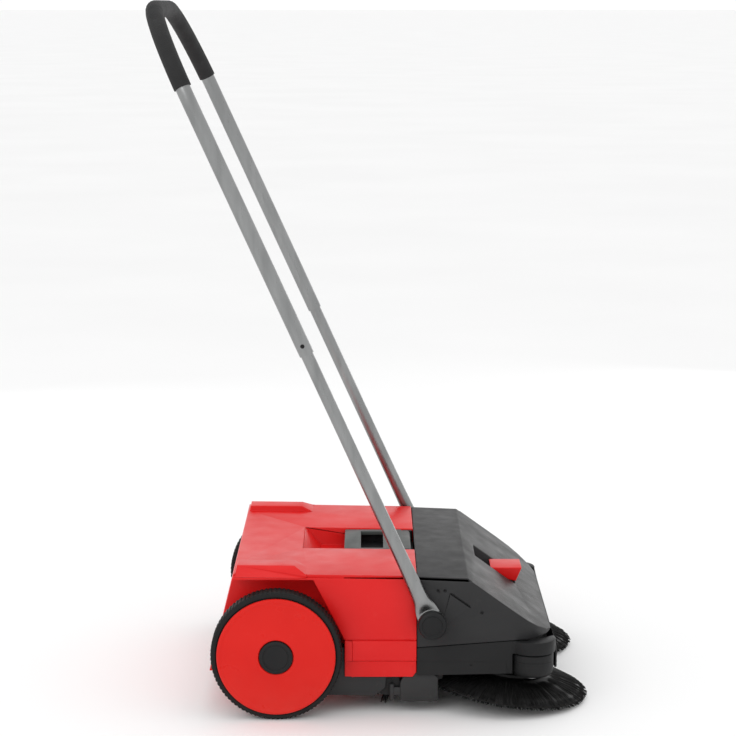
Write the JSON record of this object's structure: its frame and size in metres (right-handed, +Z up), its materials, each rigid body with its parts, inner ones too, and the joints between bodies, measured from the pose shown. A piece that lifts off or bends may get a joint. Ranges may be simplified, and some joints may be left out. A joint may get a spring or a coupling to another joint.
{
  "type": "carpet sweeper",
  "caption": "Push sweeper with large red wheels, tilted disc brushes, a geared roller brush, a lift-out red dirt container and a fold-down U-shaped steel handle.",
  "frame": {"origin": "on the floor under the middle of the outer box", "axes": "+X forward, the way the sweeper is pushed; +Y to the machine's left; +Z up"},
  "size_m": [0.6808, 0.556, 1.0819],
  "materials": {
    "red_plastic": "smooth red moulded plastic",
    "wheel_red_plastic": "smooth orange-red moulded plastic",
    "black_plastic": "fine-grained black plastic",
    "hood_plastic": "fine-grained charcoal plastic",
    "grey_plastic": "satin mid-grey plastic",
    "white_plastic": "natural acetal",
    "rubber": "matte black rubber",
    "foam": "matte closed-cell foam",
    "bristle": "black synthetic bristle",
    "steel": "satin steel"
  },
  "bodies": {
    "chassis": {"chassis_base": "black_plastic", "hood_cover": "hood_plastic", "lever_spindle": "steel", "side_arm_right": "black_plastic", "side_arm_left": "black_plastic", "drive_cover_right": "grey_plastic", "drive_cover_left": "grey_plastic", "belt_guard_right": "grey_plastic", "belt_guard_left": "grey_plastic", "wheel_axle_right": "steel", "wheel_axle_left": "steel", "guide_pin_right": "steel", "guide_pin_left": "steel", "pivot_bolt_right": "steel", "pivot_bolt_left": "steel", "rear_belt_right": "rubber", "rear_belt_left": "rubber", "front_belt_right": "rubber", "front_belt_left": "rubber"},
    "container": {"container_shell": "red_plastic", "handle_bed": "black_plastic", "handle_pin": "steel"},
    "container_handle": {"carry_handle": "grey_plastic"},
    "roller": {"roller_core": "black_plastic", "roller_bristles": "bristle", "roller_pulley_right": "white_plastic", "roller_pulley_left": "white_plastic"},
    "lever": {"height_lever": "red_plastic"},
    "support": {"support_fork": "black_plastic"},
    "support_wheel": {"support_roller": "rubber"},
    "push_handle": {"upper_tube": "steel", "grip": "foam", "lower_tube_right": "steel", "lower_tube_left": "steel", "tube_screw_right": "black_plastic", "tube_screw_left": "black_plastic", "pivot_cap_right": "black_plastic", "pivot_cap_left": "black_plastic"},
    "wheel_right": {"tyre_right": "rubber", "wheel_disc_right": "wheel_red_plastic", "ring_gear_right": "white_plastic", "hub_cap_right": "black_plastic"},
    "pinion_right": {"drive_pinion_right": "white_plastic"},
    "front_drive_right": {"front_shaft_right": "steel", "bevel_pinion_right": "white_plastic"},
    "disc_right": {"disc_plate_right": "black_plastic", "disc_bristles_right": "bristle", "bevel_gear_right": "white_plastic"},
    "guide_right": {"guide_roller_right": "black_plastic"},
    "wheel_left": {"tyre_left": "rubber", "wheel_disc_left": "wheel_red_plastic", "ring_gear_left": "white_plastic", "hub_cap_left": "black_plastic"},
    "pinion_left": {"drive_pinion_left": "white_plastic"},
    "front_drive_left": {"front_shaft_left": "steel", "bevel_pinion_left": "white_plastic"},
    "disc_left": {"disc_plate_left": "black_plastic", "disc_bristles_left": "bristle", "bevel_gear_left": "white_plastic"},
    "guide_left": {"guide_roller_left": "black_plastic"}
  },
  "joints": [
    {"name": "wheel_right_spin", "type": "hinge", "parent": "chassis", "child": "wheel_right", "pos_m": [-0.144, -0.256, 0.1], "axis": [0, 1, 0], "continuous": true},
    {"name": "wheel_left_spin", "type": "hinge", "parent": "chassis", "child": "wheel_left", "pos_m": [-0.144, 0.256, 0.1], "axis": [0, 1, 0], "continuous": true},
    {"name": "pinion_right_spin", "type": "hinge", "parent": "chassis", "child": "pinion_right", "pos_m": [-0.096, -0.23, 0.1], "axis": [0, 1, 0], "continuous": true},
    {"name": "pinion_left_spin", "type": "hinge", "parent": "chassis", "child": "pinion_left", "pos_m": [-0.096, 0.23, 0.1], "axis": [0, 1, 0], "continuous": true},
    {"name": "roller_spin", "type": "hinge", "parent": "chassis", "child": "roller", "pos_m": [0.02402, 0, 0.0465], "axis": [0, 1, 0], "continuous": true},
    {"name": "front_shaft_right_spin", "type": "hinge", "parent": "chassis", "child": "front_drive_right", "pos_m": [0.22402, -0.16, 0.125], "axis": [0, 1, 0], "continuous": true},
    {"name": "front_shaft_left_spin", "type": "hinge", "parent": "chassis", "child": "front_drive_left", "pos_m": [0.22402, 0.16, 0.125], "axis": [0, 1, 0], "continuous": true},
    {"name": "disc_brush_right_spin", "type": "hinge", "parent": "chassis", "child": "disc_right", "pos_m": [0.20903, -0.145, 0.01837], "axis": [0.1392, 0, 0.9903], "continuous": true},
    {"name": "disc_brush_left_spin", "type": "hinge", "parent": "chassis", "child": "disc_left", "pos_m": [0.20903, 0.145, 0.01837], "axis": [0.1392, 0, 0.9903], "continuous": true},
    {"name": "guide_roller_right_spin", "type": "hinge", "parent": "chassis", "child": "guide_right", "pos_m": [0.24803, -0.218, 0.076], "axis": [0, 0, 1], "continuous": true},
    {"name": "guide_roller_left_spin", "type": "hinge", "parent": "chassis", "child": "guide_left", "pos_m": [0.24803, 0.218, 0.076], "axis": [0, 0, 1], "continuous": true},
    {"name": "height_lever_tilt", "type": "hinge", "parent": "chassis", "child": "lever", "pos_m": [0.20802, 0, 0.112], "axis": [0, 1, 0], "range_deg": [-12, 7]},
    {"name": "support_slide", "type": "slide", "parent": "chassis", "child": "support", "axis": [0, 0, 1], "range_m": [-0.0192, 0.0113]},
    {"name": "support_roller_spin", "type": "hinge", "parent": "support", "child": "support_wheel", "pos_m": [0.11802, 0, 0.0205], "axis": [0, 1, 0], "continuous": true},
    {"name": "container_lift", "type": "slide", "parent": "chassis", "child": "container", "axis": [0, 0, 1], "range_m": [0, 0.25]},
    {"name": "container_handle_swing", "type": "hinge", "parent": "container", "child": "container_handle", "pos_m": [0.05952, 0, 0.211], "axis": [0, 1, 0], "range_deg": [0, 95]},
    {"name": "push_handle_fold", "type": "hinge", "parent": "chassis", "child": "push_handle", "pos_m": [0.09302, 0, 0.147], "axis": [0, 1, 0], "range_deg": [0, 114]}
  ],
  "couplings": [
    {"joint": "pinion_right_spin", "follows": "wheel_right_spin", "ratio": 3},
    {"joint": "pinion_left_spin", "follows": "wheel_left_spin", "ratio": 3},
    {"joint": "roller_spin", "follows": "wheel_right_spin", "ratio": 2.3333},
    {"joint": "front_shaft_right_spin", "follows": "wheel_right_spin", "ratio": 3},
    {"joint": "disc_brush_right_spin", "follows": "wheel_right_spin", "ratio": 1.5},
    {"joint": "front_shaft_left_spin", "follows": "wheel_left_spin", "ratio": 3},
    {"joint": "disc_brush_left_spin", "follows": "wheel_left_spin", "ratio": -1.5},
    {"joint": "support_slide", "follows": "height_lever_tilt", "m_per_rad": 0.09}
  ]
}
